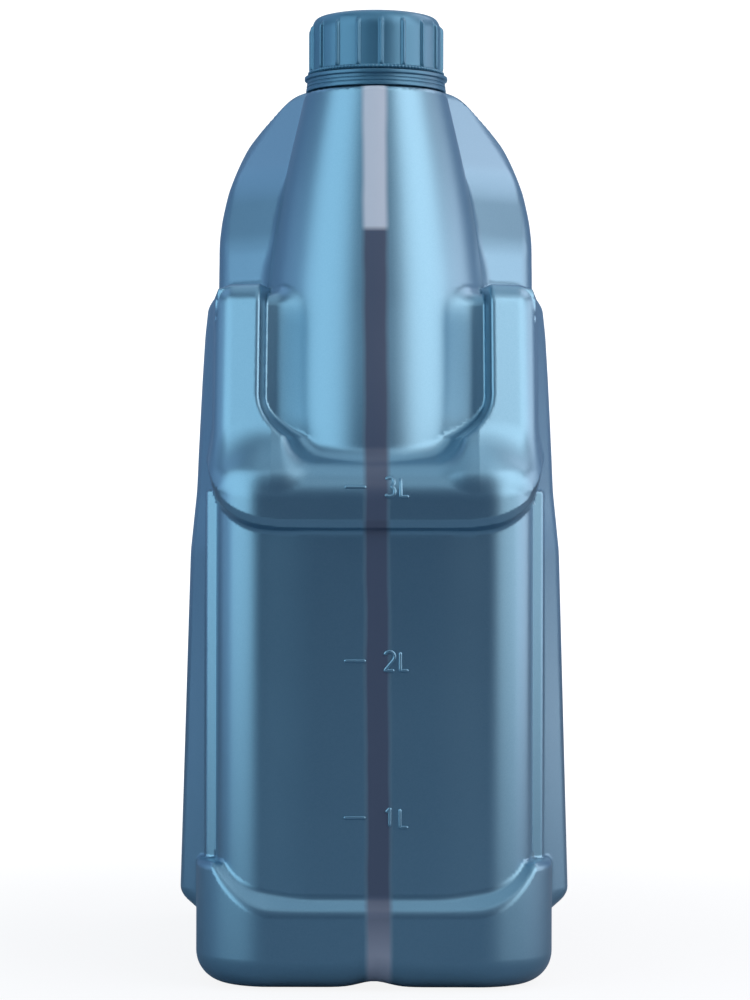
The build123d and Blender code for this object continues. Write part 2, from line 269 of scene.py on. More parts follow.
def cheek_front(y, z):
    """Front of the upper body in the side view: three straight runs that lean back more and more, rounded."""
    runs = ((-44, 240, 0.2), (-44, 240, 0.4545), (-34, 262, 1.161))
    low, middle, high = ((y0 + lean * (z - z0) - y) / math.hypot(1, lean) for y0, z0, lean in runs)
    return trimmed(trimmed(low, middle, 1.0), high, 3.7)


def wing_form(x, y, z):
    """Upper body: sides, sloping shoulders, a flat crown and slanted cheeks that move back with the height."""
    across = np.abs(x)
    shoulder = 0.859 * (across - 36.3) + 0.512 * (z - 289.4)
    wing = trimmed(trimmed(across - 53.2, shoulder, 10.8), z - 296.5, 5.9)
    cheek = 0.743 * cheek_front(y - 0.9 * (across - 22), z)
    wing = trimmed(wing, np.maximum(cheek_front(y, z), cheek), 4)
    return np.maximum(trimmed(wing, y - 74.5, 5), 148 - z)


halfway = float(smooth_through(np.array(240.0), spout_levels, spout_radii))
print("the spout narrows from", spout_radii[1], "by way of", round(halfway, 1), "to", spout_radii[-1], "mm")

# %% [markdown]
# ## The handle
# The upper rear corner is pinched away for the fingers, and a hollow bar closes the loop from the crown to the
# rear of the body. A curve with a bevel profile would make the bar, but not the fillets at its two ends. As a
# field it is a rounded section around a bent line, and the fillets come with the join.


# %% Handle and finger gap
def gap_limit(x, y, z):
    """What the finger gap leaves: four half spaces in a hollow curve, further back toward the middle."""
    walls = (
        y - 20,
        0.961 * (y - 20) + 0.278 * (z - 262),
        0.64 * (y - 42) + 0.768 * (z - 186),
        0.223 * (y - 60) + 0.975 * (z - 171),
    )
    limit = walls[0]
    for wall, radius in zip(walls[1:], (0.7, 2.7, 1.8)):
        limit = joined(limit, wall, radius)
    return 0.97 * (limit + 0.25 * np.abs(x))


def handle_form(x, y, z):
    """Bar with a rounded section around a bent line: straight back, a quarter bend and straight down."""
    beyond_y = y - 47.5
    beyond_z = z - 244
    corner = np.hypot(np.maximum(beyond_y, 0), np.maximum(beyond_z, 0))
    bend = np.abs(corner + np.minimum(np.maximum(beyond_y, beyond_z), 0) - 30)
    bar = rounded_plan(x, bend, 18, 14, 11)
    return np.maximum(bar, np.maximum(-y, 144 - z))


gap_middle = (0.0, 45.0, 220.0)
print("the bar is", round(float(handle_form(*gap_middle)), 1), "mm away from the middle of the finger gap")

# %% [markdown]
# ## One bottle from all its forms
# The real body is blown in one piece, so no part ends in a seam: each runs into the next with a fillet. Boolean
# modifiers would join separate meshes with hard and often broken edges. Joining the fields takes one line for
# each part, and every join has a radius of its own: small in the valleys beside the spout, larger at its foot.


# %% The whole bottle
neck_bore = 17.3


def bottle_field(x, y, z):
    """All forms in one: lower body and shoulder, less the finger gap, with the handle, and open at the neck."""
    lower = joined(base_form(x, y, z), face_form(x, y, z), 0.8)
    lower = joined(lower, panel_form(x, y, z), 0.8)
    spout = joined(spout_form(x, y, z), valley_form(np.abs(x), y, z), 4)
    spout_fillet = 0.8 + 2.6 * eased((184 - z) / 12)
    wing_fillet = 2 + 1.5 * eased((z - 208) / 8) * eased((240 - z) / 12)
    upper = joined(joined(shoulder_form(x, y, z), spout, spout_fillet), wing_form(x, y, z), wing_fillet)
    body = trimmed(joined(lower, upper, 1.0), gap_limit(x, y, z), 5)
    body = joined(body, handle_form(x, y, z), 5)
    bore = np.maximum(np.hypot(x, y - neck_y) - neck_bore, 262 - z)
    return np.maximum(body, -bore)


print("the middle of the belly lies", round(-float(bottle_field(0.0, 0.0, 100.0)), 1), "mm inside")

# %% [markdown]
# ## From the field to a mesh
# The field is measured on a grid that is finer where the bottle has its edges. Every cell that the surface
# passes through gets one point, the mean of the crossings on its edges, and every grid edge that is crossed
# gets a quad between the four cells around it. The points then slide along the field's slope onto the surface,
# and the slope also gives the normals. Metaballs or a voxel remesh give a surface too, but not these radii.


# %% Surface from a field
def graded(*runs):
    """Grid lines from runs of (start, end, spacing)."""
    parts = [np.linspace(a, b, max(2, round((b - a) / step) + 1))[:-1] for a, b, step in runs]
    return np.concatenate(parts + [np.array([runs[-1][1]])])


def field_slope(field, points, reach=0.02):
    """Slope of the field at each point, by differences over a small reach on both sides."""
    slope = np.empty_like(points)
    for axis in range(3):
        step = np.zeros(3)
        step[axis] = reach
        ahead = field(*(points + step).T)
        behind = field(*(points - step).T)
        slope[:, axis] = (ahead - behind) / (2 * reach)
    return slope


def cell_points(values, lines):
    """One point for each crossed cell: the mean of the places where the surface crosses the cell's edges."""
    inside = values < 0
    count = sum(
        inside[i : i - 1 or None, j : j - 1 or None, k : k - 1 or None].astype(np.int8)
        for i in (0, 1) for j in (0, 1) for k in (0, 1)
    )
    cells = np.argwhere((count > 0) & (count < 8))
    total = np.zeros((len(cells), 3))
    hits = np.zeros(len(cells))
    for axis in range(3):
        others = [a for a in range(3) if a != axis]
        for u in (0, 1):
            for v in (0, 1):
                start = np.zeros(3, int)
                start[others[0]], start[others[1]] = u, v
                end = start.copy()
                end[axis] = 1
                f0 = values[tuple((cells + start).T)]
                f1 = values[tuple((cells + end).T)]
                crossed = (f0 < 0) != (f1 < 0)
                t = np.where(crossed, f0 / np.where(crossed, f0 - f1, 1), 0)
                place = np.repeat(start[None].astype(float), len(cells), 0)
                place[:, axis] = t
                total += place * crossed[:, None]
                hits += crossed
    local = total / hits[:, None]
    points = np.stack(
        [line[cells[:, a]] + local[:, a] * np.diff(line)[cells[:, a]] for a, line in enumerate(lines)], 1
    )
    return cells, points


def cell_quads(values, cells):
    """One quad for each crossed grid edge, between the four cells around it, turned to face outward."""
    inside = values < 0
    number = np.full(np.array(values.shape) - 1, -1)
    number[tuple(cells.T)] = np.arange(len(cells))
    quads = []
    for axis in range(3):
        b, c = (axis + 1) % 3, (axis + 2) % 3
        low = np.take(inside, range(values.shape[axis] - 1), axis)
        high = np.take(inside, range(1, values.shape[axis]), axis)
        edges = np.argwhere(low != high)
        edges = edges[(edges[:, b] > 0) & (edges[:, c] > 0)]
        rises = low[tuple(edges.T)]
        ring = []
        for step_b, step_c in ((-1, -1), (0, -1), (0, 0), (-1, 0)):
            cell = edges.copy()
            cell[:, b] += step_b
            cell[:, c] += step_c
            ring.append(number[tuple(cell.T)])
        ring = np.stack(ring, 1)
        quads.append(np.where(rises[:, None], ring, ring[:, ::-1]))
    return np.concatenate(quads)


def surface_of(field, lines, rounds=3):
    """Points, quads and normals of the surface where the field is zero."""
    grid = np.meshgrid(*lines, indexing="ij", sparse=True)
    values = field(*grid)
    cells, points = cell_points(values, lines)
    quads = cell_quads(values, cells)
    edges = np.concatenate([quads[:, [0, 1]], quads[:, [1, 2]], quads[:, [2, 3]], quads[:, [3, 0]]])
    share = np.bincount(edges[:, 0], minlength=len(points)) + np.bincount(edges[:, 1], minlength=len(points))
    for turn in range(rounds + 2):
        if turn < rounds:
            near = np.zeros_like(points)
            for axis in range(3):
                near[:, axis] = np.bincount(edges[:, 0], points[edges[:, 1], axis], len(points))
                near[:, axis] += np.bincount(edges[:, 1], points[edges[:, 0], axis], len(points))
            points = 0.5 * points + 0.5 * near / share[:, None]
        slope = field_slope(field, points)
        steep = np.maximum((slope**2).sum(1), 0.05)
        step = field(*points.T)[:, None] * slope / steep[:, None]
        points = points - np.clip(step, -1.0, 1.0)
    slope = field_slope(field, points, 0.05)
    return points, quads, slope / np.linalg.norm(slope, axis=1, keepdims=True)


ball_points, ball_quads, _ = surface_of(
    lambda x, y, z: np.sqrt(x**2 + y**2 + z**2) - 10, (graded((-12, 12, 1.5)),) * 3
)
ball_radius = np.linalg.norm(ball_points, axis=1).mean()
print("a test ball of 10 mm has", len(ball_quads), "quads and a radius of", ball_radius.round(2), "mm")

# %% [markdown]
# ## Pieces
# Every piece is a mesh whose place is in its points, with its object at the origin, as the CAD nodes have it.
# Most pieces are sheets: a grid of points, row by row, that closes into a ring one way or both ways. One call
# sets the body that carries the piece.


# %% Mesh helpers
def make_piece(name, points, faces, body, normals=None):
    """Mesh object at the origin from points in millimetres, riding on a body."""
    mesh = bpy.data.meshes.new(name)
    mesh.from_pydata((np.asarray(points) * MM).tolist(), [], np.asarray(faces).tolist())
    mesh.polygons.foreach_set("use_smooth", np.ones(len(mesh.polygons), bool))
    mesh.update()
    if normals is not None:
        mesh.normals_split_custom_set_from_vertices(normals.tolist())
    piece = bpy.data.objects.new(name, mesh)
    bpy.context.scene.collection.objects.link(piece)
    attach(piece, body)
    print(name, len(points), "points", len(mesh.polygons), "faces")
    return piece


def sheet_faces(rows, columns, closed_rows=False, closed_columns=True):
    """Quads of a grid of points, row by row, with either direction closed into a ring."""
    i, j = np.meshgrid(
        np.arange(rows if closed_rows else rows - 1),
        np.arange(columns if closed_columns else columns - 1),
        indexing="ij",
    )
    i, j = i.ravel(), j.ravel()
    i2, j2 = (i + 1) % rows, (j + 1) % columns
    return np.stack([i * columns + j, i * columns + j2, i2 * columns + j2, i2 * columns + j], 1)


print("a ring of 2 rows and 4 columns has", len(sheet_faces(2, 4)), "faces")

# %% [markdown]
# ## The blown body
# Here the field becomes the bottle. The grid is fine at the lip, the sill, the strips and the pillars' edges,
# and coarse on the plain faces, which keeps the mesh light. The piece takes the place of the CAD body, whose
# form it keeps.

# %% The blown body
lines = (
    graded((-64.5, -40, 0.95), (-40, -30, 0.7), (-30, 30, 2.0), (30, 40, 0.7), (40, 64.5, 0.95)),
    graded((-97.2, -86, 0.8), (-86, -40, 1.5), (-40, 97.2, 2.4)),
    graded(
        (-1.3, 20, 1.3), (20, 45, 1.0), (45, 143, 2.2), (143, 157, 0.6),
        (157, 166, 1.0), (166, 230, 1.4), (230, 298, 1.6),
    ),
)
points, quads, normals = surface_of(bottle_field, lines)
blown_body = make_piece("blown_body", points, quads, "bottle", normals)
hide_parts("bottle_body")

# %% [markdown]
# ## The neck
# The neck is turned: one outline of radius and height goes around the neck's axis. Its thread is a small ridge
# carried along a helix, with ends that run out into the wall. The Screw modifier can do both, but it can't let
# the thread swell from nothing, which a formula for its height does.


# %% Turned shapes
def turned(outline, around=96):
    """Points and faces of a closed outline of (radius, height) carried around the neck's axis."""
    outline = np.array(outline, float)
    angle = np.linspace(0, 2 * np.pi, around, endpoint=False)
    radius = outline[:, :1]
    x = radius * np.cos(angle)
    y = neck_y + radius * np.sin(angle)
    z = np.repeat(outline[:, 1:], around, 1)
    return np.stack([x, y, z], -1).reshape(-1, 3), sheet_faces(len(outline), around, closed_rows=True)


def rounded_outline(corners, radius, steps=5):
    """Closed outline with each corner replaced by a short curve that starts and ends radius away from it."""
    corners = np.array(corners, float)
    before = np.roll(corners, 1, 0) - corners
    after = np.roll(corners, -1, 0) - corners
    long_before = np.linalg.norm(before, axis=1, keepdims=True)
    long_after = np.linalg.norm(after, axis=1, keepdims=True)
    cut = np.minimum(radius, 0.45 * np.minimum(long_before, long_after))
    start = corners + before / long_before * cut
    end = corners + after / long_after * cut
    t = np.linspace(0, 1, steps)[None, :, None]
    curve = (1 - t) ** 2 * start[:, None] + 2 * t * (1 - t) * corners[:, None] + t**2 * end[:, None]
    return curve.reshape(-1, 2)


square = rounded_outline([(1, 0), (3, 0), (3, 2), (1, 2)], 0.5)
print("a square outline with round corners has", len(square), "points")

# %% Neck and thread
neck_rim = body_high[2]
neck_radius, bead_radius, throat_radius = 18.6, 20.2, 16.0
neck_outline = rounded_outline(
    [(neck_radius, 284), (neck_radius, 291.8), (bead_radius, 291.8), (bead_radius, 293.2), (neck_radius, 293.2),
     (neck_radius, neck_rim), (throat_radius, neck_rim), (throat_radius, 264), (17.25, 264), (17.25, 284)],
    0.4,
)
points, faces = turned(neck_outline)
neck_tube = make_piece("neck_tube", points, faces, "bottle")


def helix_ridge(radius, start, pitch, turns, height, half_width, count=260, profile=9):
    """Ridge along a helix: a half-round profile whose height swells from both ends of the thread."""
    t = np.linspace(0, 1, count)[:, None]
    phi = np.linspace(0, np.pi, profile)[None]
    swell = eased(t / 0.06) * eased((1 - t) / 0.06)
    r = radius - 0.3 + (height + 0.3) * swell * np.sin(phi)
    z = start + pitch * turns * t + half_width * np.cos(phi) * np.maximum(swell, 0.05)
    angle = 2 * np.pi * turns * t + 0 * phi
    points = np.stack([r * np.cos(angle), neck_y + r * np.sin(angle), z + 0 * r], -1)
    return points.reshape(-1, 3), sheet_faces(count, profile, closed_columns=True)


points, faces = helix_ridge(neck_radius, 296.5, pitch=4.0, turns=2.5, height=0.9, half_width=0.9)
neck_thread = make_piece("neck_thread", points, faces[:, ::-1], "bottle")

# %% [markdown]
# ## The cap
# The cap is turned too, but its radius also depends on the angle: narrow ribs stand around it. They could be
# arrayed bars, but bars would cut into the wall, while a radius that swells at each rib keeps one closed skin.
# The angles are crowded near each rib, so that the ribs keep their shape with few points. At the axis all the
# points of a row fall together, and merging them closes the poles.

# %% Screw cap
cap_low, cap_high = node_box("screw_cap")
rib_count = 18
rib_phase = math.radians(-90 + 4.2)
cap_wall_radius, flange_radius, bore_radius = 21.6, 22.3, 19.9
rib_half_width, rib_height = 0.72, 0.95
corner_points = 7


def rib_angles(per_rib=34):
    """Angles around the cap, crowded toward the middle of each rib by a power law."""
    u = np.linspace(-1, 1, per_rib, endpoint=False)
    local = np.sign(u) * np.abs(u) ** 1.9 / 2
    pitch = 2 * np.pi / rib_count
    return (local[None] + np.arange(rib_count)[:, None]).ravel() * pitch + rib_phase


def cap_shape():
    """Cap: an outline turned about the axis, plus ribs whose height falls off like a circle's section."""
    foot, top = cap_low[2], cap_high[2]
    roof = node_box("cap_liner")[1][2] + 0.05
    outline = rounded_outline(
        [(0.01, top), (16.2, top), (20.4, top - 1.1), (cap_wall_radius, top - 4.4),
         (cap_wall_radius, foot + 1.3), (flange_radius, foot + 1.2), (flange_radius, foot),
         (bore_radius, foot), (bore_radius, roof), (0.01, roof)],
        2.4, corner_points,
    )
    wall_start = outline[4 * corner_points - 1]
    wall_end = outline[4 * corner_points]
    along = np.linspace(0, 1, 13)[1:-1]
    wall = wall_start + (wall_end - wall_start) * along[:, None]
    outline = np.insert(outline, 4 * corner_points, wall, 0)
    outline = np.concatenate([[(0, top)], outline[corner_points:-corner_points], [(0, roof)]])
    angle = rib_angles()
    radius, height = outline[:, :1], outline[:, 1:]
    pitch = 2 * np.pi / rib_count
    off = (angle - rib_phase + pitch / 2) % pitch - pitch / 2
    across = off * cap_wall_radius / rib_half_width
    ridge = rib_height * np.sqrt(np.clip(1 - across**2, 0, 1))
    window = eased((height - foot - 1.0) / 0.8) * eased((top - 3.1 - height) / 1.6) * (radius > 20.2)
    radius = radius + ridge * window
    points = np.stack([radius * np.cos(angle), neck_y + radius * np.sin(angle), height + 0 * radius], -1)
    return points.reshape(-1, 3), sheet_faces(len(outline), len(angle))[:, ::-1]


def close_poles(piece):
    """Merge the points that lie on each other and print how many edges stay open."""
    shape = bmesh.new()
    shape.from_mesh(piece.data)
    bmesh.ops.remove_doubles(shape, verts=shape.verts, dist=1e-7)
    print(piece.name, "has", sum(edge.is_boundary for edge in shape.edges), "open edges")
    shape.to_mesh(piece.data)
    shape.free()


points, faces = cap_shape()
ribbed_cap = make_piece("ribbed_cap", points, faces, "cap")
close_poles(ribbed_cap)
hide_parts("screw_cap")

# %% [markdown]
# ## Beads at the cap's foot
# Around the foot of the cap runs a row of small grip beads. More than a hundred spheres would do it, with most
# of their faces buried in the wall. One ring whose round section swells once for each bead looks the same and
# is closed and light.


# %% Beads at the cap's foot
def beaded_ring(radius, height, bead, count, around=8, section=10):
    """Ring of beads: a small circle carried around the axis, whose radius swells once for each bead."""
    angle = np.linspace(0, 2 * np.pi, count * around, endpoint=False)[:, None]
    phi = np.linspace(0, 2 * np.pi, section, endpoint=False)[None]
    size = bead * (0.55 + 0.45 * np.abs(np.cos(count * angle / 2)))
    r = radius + size * np.cos(phi)
    points = np.stack([r * np.cos(angle), neck_y + r * np.sin(angle), height + size * np.sin(phi)], -1)
    return points.reshape(-1, 3), sheet_faces(count * around, section, closed_rows=True)


points, faces = beaded_ring(22.15, cap_low[2] + 0.75, 0.62, 112)
cap_beads = make_piece("cap_beads", points, faces, "cap")

# %% [markdown]
# ## The tamper band
# The ring below the cap breaks off when the cap is first opened and stays on the neck, so it rides on the
# bottle. Like the neck it could be screwed from a curve. It is turned in numpy from one outline with two
# shallow grooves and a collar, because the heights can then come from the CAD node.

# %% Tamper band
band_low, band_high = node_box("tamper_band")
band_foot, band_top = band_low[2], band_high[2]
band_corners = [
    (19.4, band_foot), (23.4, band_foot), (23.25, band_foot + 1.2), (23.0, band_foot + 1.3),
    (23.0, band_foot + 1.5), (23.2, band_foot + 1.6), (23.1, band_foot + 2.4), (22.85, band_foot + 2.5),
    (22.85, band_foot + 2.7), (23.05, band_foot + 2.8), (22.9, band_top - 1.3), (23.8, band_top - 1.2),
    (23.8, band_top), (20.6, band_top), (20.6, band_foot + 1.2), (19.4, band_foot + 1.2),
]
points, faces = turned(rounded_outline(band_corners, 0.3), 160)
ring_band = make_piece("ring_band", points, faces, "bottle")
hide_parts("tamper_band")

# %% [markdown]
# ## Volume marks
# Plain dashes and litre figures stand out of the front by less than half a millimetre. Text objects would bring
# a typeface and a flat back. Each mark is a stroke instead: a half-round profile carried along a line in the
# front view, and laid onto the blown surface by searching the field for the front.


# %% Strokes on the front
def front_of(x, z):
    """Where the surface lies behind each place of the front view, by halving the interval."""
    near = np.full(np.shape(x), front - 2.0)
    far = np.full(np.shape(x), front + 20.0)
    for _ in range(26):
        middle = (near + far) / 2
        outside = bottle_field(x, middle, z) > 0
        near = np.where(outside, middle, near)
        far = np.where(outside, far, middle)
    return far


def stroke(path, half_width=0.6, height=0.4, sunk=0.15, profile=9):
    """Points and faces of a stroke along a path of (x, z), rounded off at both ends."""
    path = np.array(path, float)
    along = np.gradient(path, axis=0)
    along /= np.linalg.norm(along, axis=1, keepdims=True)
    length = np.concatenate([[0], np.cumsum(np.linalg.norm(np.diff(path, axis=0), axis=1))])
    end = np.minimum(length, length[-1] - length)
    size = np.sqrt(np.clip(1 - (1 - np.clip(end / half_width, 0, 1)) ** 2, 0.02, 1))[:, None]
    phi = np.linspace(0, np.pi, profile)[None]
    side = half_width * size * np.cos(phi)
    x = path[:, :1] - along[:, 1:] * side
    z = path[:, 1:] + along[:, :1] * side
    y = front_of(x, z) + sunk - (height + sunk) * size * np.sin(phi)
    return np.stack([x, y, z], -1).reshape(-1, 3), sheet_faces(len(path), profile)


def bow(cx, cz, rx, rz, start, end, count=24):
    """Arc of an ellipse between two angles in degrees."""
    angle = np.radians(np.linspace(start, end, count))
    return np.stack([cx + rx * np.cos(angle), cz + rz * np.sin(angle)], 1)


def runs(*corners, count=12):
    """Straight runs between corners with points along them."""
    corners = np.array(corners, float)
    t = np.linspace(0, 1, count, endpoint=False)[:, None]
    parts = [a + (b - a) * t for a, b in zip(corners[:-1], corners[1:])]
    return np.concatenate(parts + [corners[-1:]])


figure_height = 6.0
figure_strokes = {
    1: [runs((0.6, 4.6), (1.9, 6.0), (1.9, 0.0))],
    2: [np.concatenate([bow(1.7, 4.3, 1.6, 1.7, 165, -25), runs((2.9, 3.2), (0.2, 0.0), (3.4, 0.0))])],
    3: [bow(1.6, 4.5, 1.45, 1.5, 150, -85), bow(1.6, 1.6, 1.65, 1.6, 80, -150)],
}
letter_stroke = runs((0.2, 6.0), (0.2, 0.0), (2.9, 0.0))
mark_levels = {1: 54.1, 2: 103.4, 3: 158.1}
pieces = []
for litres, level in mark_levels.items():
    strokes = [runs((-9.7, level), (-2.6, level), count=24)]
    strokes += [path + (3.0, level - figure_height / 2) for path in figure_strokes[litres]]
    strokes += [letter_stroke + (7.9, level - figure_height / 2)]
    pieces += [stroke(path) for path in strokes]
offsets = np.cumsum([0] + [len(points) for points, _ in pieces])
points = np.concatenate([points for points, _ in pieces])
faces = np.concatenate([faces + offset for (_, faces), offset in zip(pieces, offsets)])
volume_marks = make_piece("volume_marks", points, faces, "bottle")

# %% [markdown]
# ## Finishes
# A material is a sum of node values. Wired by hand, even a simple mask takes half a screen of nodes. One small
# class lets a socket take part in Python sums, so that a mask reads like a formula, and one method adds every
# other node.


# %% Shader expressions
class Value:
    """A shader socket that takes part in Python sums."""

    def __init__(self, finish, socket):
        self.finish = finish
        self.socket = socket

    def math(self, operation, *others, clamp=False):
        settings = {"operation": operation, "use_clamp": clamp}
        inputs = {i: other for i, other in enumerate((self, *others))}
        return self.finish.node("ShaderNodeMath", settings, inputs)

    def __add__(self, other):
        return self.math("ADD", other)

    def __mul__(self, other):
        return self.math("MULTIPLY", other)

    def __sub__(self, other):
        return self.math("SUBTRACT", other)

    def __rsub__(self, other):
        return (self * -1.0) + other

    def __truediv__(self, other):
        return self.math("DIVIDE", other)

    def __abs__(self):
        return self.math("ABSOLUTE")

    __radd__ = __add__
    __rmul__ = __mul__

    def limited(self):
        return self.math("ADD", 0.0, clamp=True)


class Nodes:
    """A node tree whose nodes all come from one method."""

    def __init__(self, tree):
        self.tree = tree

    def node(self, kind, settings=None, inputs=None, output=0):
        made = self.tree.nodes.new(kind)
        for key, value in (settings or {}).items():
            setattr(made, key, value)
        for key, value in (inputs or {}).items():
            self.feed(made.inputs[key], value)
        return Value(self, made.outputs[output])

    def feed(self, socket, value):
        if isinstance(value, Value):
            self.tree.links.new(value.socket, socket)
        else:
            socket.default_value = value

    def place(self):
        """Object coordinates in metres, together and one by one."""
        spot = self.node("ShaderNodeTexCoord", output="Object")
        return spot, [self.node("ShaderNodeSeparateXYZ", inputs={0: spot}, output=axis) for axis in range(3)]

    def noise(self, spot, scale, detail=2.0):
        return self.node("ShaderNodeTexNoise", inputs={"Vector": spot, "Scale": scale, "Detail": detail})

    def mix(self, share, a, b):
        """Colour between a and b."""
        return self.node("ShaderNodeMix", {"data_type": "RGBA"}, {0: share, 6: a, 7: b}, 2)

    def bump(self, height, distance, strength=1.0):
        inputs = {"Height": height, "Distance": distance, "Strength": strength}
        return self.node("ShaderNodeBump", inputs=inputs)

    def seen_or(self, ray, seen, other, share=1.0):
        """Shader that shows one face to a kind of ray and another to the rest."""
        kind = self.node("ShaderNodeLightPath", output=ray)
        return self.node("ShaderNodeMixShader", inputs={0: kind * share, 1: other, 2: seen})


class Finish(Nodes):
    """A material with one principled shader at its end."""

    def __init__(self, name):
        self.material = bpy.data.materials.new(name)
        self.material.use_nodes = True
        super().__init__(self.material.node_tree)
        self.shader = self.tree.nodes["Principled BSDF"]

    def set(self, **values):
        for key, value in values.items():
            self.feed(self.shader.inputs[key.replace("_", " ")], value)

# %% [markdown]
# ## Blue pearl plastic
# The bottle is coloured plastic with fine pearl flakes: dark where it mirrors the dim room, bright where it
# turns toward a light. That is a largely metallic surface with a broad gloss under a thin coat. A fine grain
# from the mould breaks the gloss up. Down the front runs a strip without pigment, milky above the oil and dark
# where oil stands behind it. It is a band of the same wall, so it is a mask in the material and not a piece.


# %% Bottle finish
pearl_metallic = 0.92
strip_half_width, strip_softness, oil_level = 0.0038, 0.0018, 0.2416


def pearl_plastic(name, with_strip):
    """Blue pearl plastic; with_strip adds the clear level strip down the front."""
    finish = Finish(name)
    spot, (x, y, z) = finish.place()
    cloud = finish.noise(spot, 18.0, 3.0)
    grain = finish.noise(spot, 1400.0, 2.0)
    speck = finish.noise(spot, 2600.0, 1.0)
    blue = finish.mix(cloud, (0.135, 0.297, 0.412, 1), (0.150, 0.320, 0.436, 1))
    blue = finish.mix((speck - 0.5) * 0.5 + 0.2, blue, (0.22, 0.40, 0.53, 1))
    metallic = pearl_metallic
    if with_strip:
        wave = (finish.noise(spot, 60.0, 1.0) - 0.5) * 0.0009
        middle = 0.0017 - z * 0.0078 + wave
        strip = ((strip_half_width - abs(x - middle)) / strip_softness + 0.5).limited()
        strip = strip * ((-0.038 - y) / 0.004).limited()
        full = ((oil_level - z) / strip_softness + 0.5).limited()
        near_foot = ((0.030 - z) / 0.022).limited()
        wet = finish.mix(near_foot * 0.75, (0.050, 0.076, 0.130, 1), (0.30, 0.36, 0.46, 1))
        clear = finish.mix(full, (0.45, 0.54, 0.64, 1), wet)
        blue = finish.mix(strip, blue, clear)
        metallic = (1.0 - strip) * pearl_metallic
    finish.set(Base_Color=blue, Metallic=metallic, Roughness=cloud * 0.06 + 0.33)
    finish.set(Coat_Weight=0.12, Coat_Roughness=0.30)
    finish.set(Normal=finish.bump(grain, 0.00002, 0.35))
    return finish.material


def give(piece, material):
    """Put one material on a piece, in place of what it had."""
    piece.data.materials.clear()
    piece.data.materials.append(material)
    print(piece.name, "wears", material.name)


bottle_finish = pearl_plastic("pearl_plastic", True)
plain_finish = pearl_plastic("pearl_plastic_plain", False)
give(blown_body, bottle_finish)
for piece in (neck_tube, neck_thread, volume_marks):
    give(piece, plain_finish)

# %% [markdown]
# ## Cap plastic
# Cap and band are injection moulded in a plainer blue, with far less pearl in it than the body has. The same
# kind of shader does, with half the metal in it, slight clouds and a finer grain. The band is a shade darker.


# %% Cap finish
def cap_plastic(name, low, high):
    """Satin injection-moulded plastic: an even blue with slight clouds and a very fine grain."""
    finish = Finish(name)
    spot, _ = finish.place()
    cloud = finish.noise(spot, 60.0, 3.0)
    grain = finish.noise(spot, 2200.0, 2.0)
    finish.set(Base_Color=finish.mix(cloud, low, high), Roughness=cloud * 0.1 + 0.3, Metallic=0.5)
    finish.set(Normal=finish.bump(grain, 0.00001, 0.3))
    return finish.material


cap_finish = cap_plastic("cap_plastic", (0.056, 0.185, 0.290, 1), (0.068, 0.210, 0.325, 1))
band_finish = cap_plastic("band_plastic", (0.050, 0.165, 0.265, 1), (0.060, 0.185, 0.290, 1))
for piece in (ribbed_cap, cap_beads):
    give(piece, cap_finish)
give(ring_band, band_finish)

# %% [markdown]
# ## Liner and oil
# The foam disc in the cap shows when the cap is unscrewed, and the oil only through the strip, which is painted
# as such. Both keep their CAD solids, which need nothing but a finish.


# %% Liner and oil
def foam_finish():
    """White foam: fine pores as bump and a slightly uneven white."""
    finish = Finish("liner_foam")
    spot, _ = finish.place()
    pores = finish.noise(spot, 1800.0, 3.0)
    finish.set(Base_Color=finish.mix(pores, (0.78, 0.78, 0.75, 1), (0.9, 0.9, 0.87, 1)), Roughness=0.8)
    finish.set(Normal=finish.bump(pores, 0.00005, 0.4))
    return finish.material


def oil_finish():
    """Amber oil: a deep colour that is a little lighter in slow clouds, with a smooth skin."""
    finish = Finish("amber_oil")
    spot, _ = finish.place()
    cloud = finish.noise(spot, 12.0, 2.0)
    finish.set(Base_Color=finish.mix(cloud, (0.22, 0.10, 0.015, 1), (0.32, 0.16, 0.03, 1)), Roughness=0.05)
    return finish.material


give(frame["nodes"]["cap_liner"], foam_finish())
give(frame["nodes"]["oil_fill"], oil_finish())

# %% [markdown]
# ## Studio
# The photograph is a studio shot on a white sweep. White paper lit to pure white would throw that light back
# onto the bottle and turn its deep blue pale. So the sweep is white to the camera alone, and the lamps see
# plain pale paper. Near the bottle the floor stays partly matte even to the camera, which keeps the shadow.


# %% Floor and backdrop
def stage_plane(name, corners, shade, near_share, gleam=None):
    """Flat piece of the sweep: matte to the lamps and white to the camera, less so near the bottle's shadow; a
    gleam is a painted reflection, a coloured glow that only glossy rays see.
    """
    mesh = bpy.data.meshes.new(name)
    mesh.from_pydata(corners, [], [(0, 1, 2, 3)])
    plane = bpy.data.objects.new(name, mesh)
    bpy.context.scene.collection.objects.link(plane)
    material = bpy.data.materials.new(name)
    material.use_nodes = True
    nodes = Nodes(material.node_tree)
    surface = nodes.node("ShaderNodeBsdfDiffuse", inputs={"Color": (*shade, 1)})
    if gleam:
        mirrored = nodes.node("ShaderNodeEmission", inputs={"Color": (*gleam, 1)})
        surface = nodes.seen_or("Is Glossy Ray", mirrored, surface)
    white = nodes.node("ShaderNodeEmission", inputs={"Strength": 1.25})
    _, (x, y, z) = nodes.place()
    surface = nodes.seen_or("Is Camera Ray", white, surface, ((x * x + y * y) * 0.9 + near_share).limited())
    nodes.feed(material.node_tree.nodes["Material Output"].inputs["Surface"], surface)
    plane.data.materials.append(material)
    print(name, "shows", near_share, "of its white near the bottle")


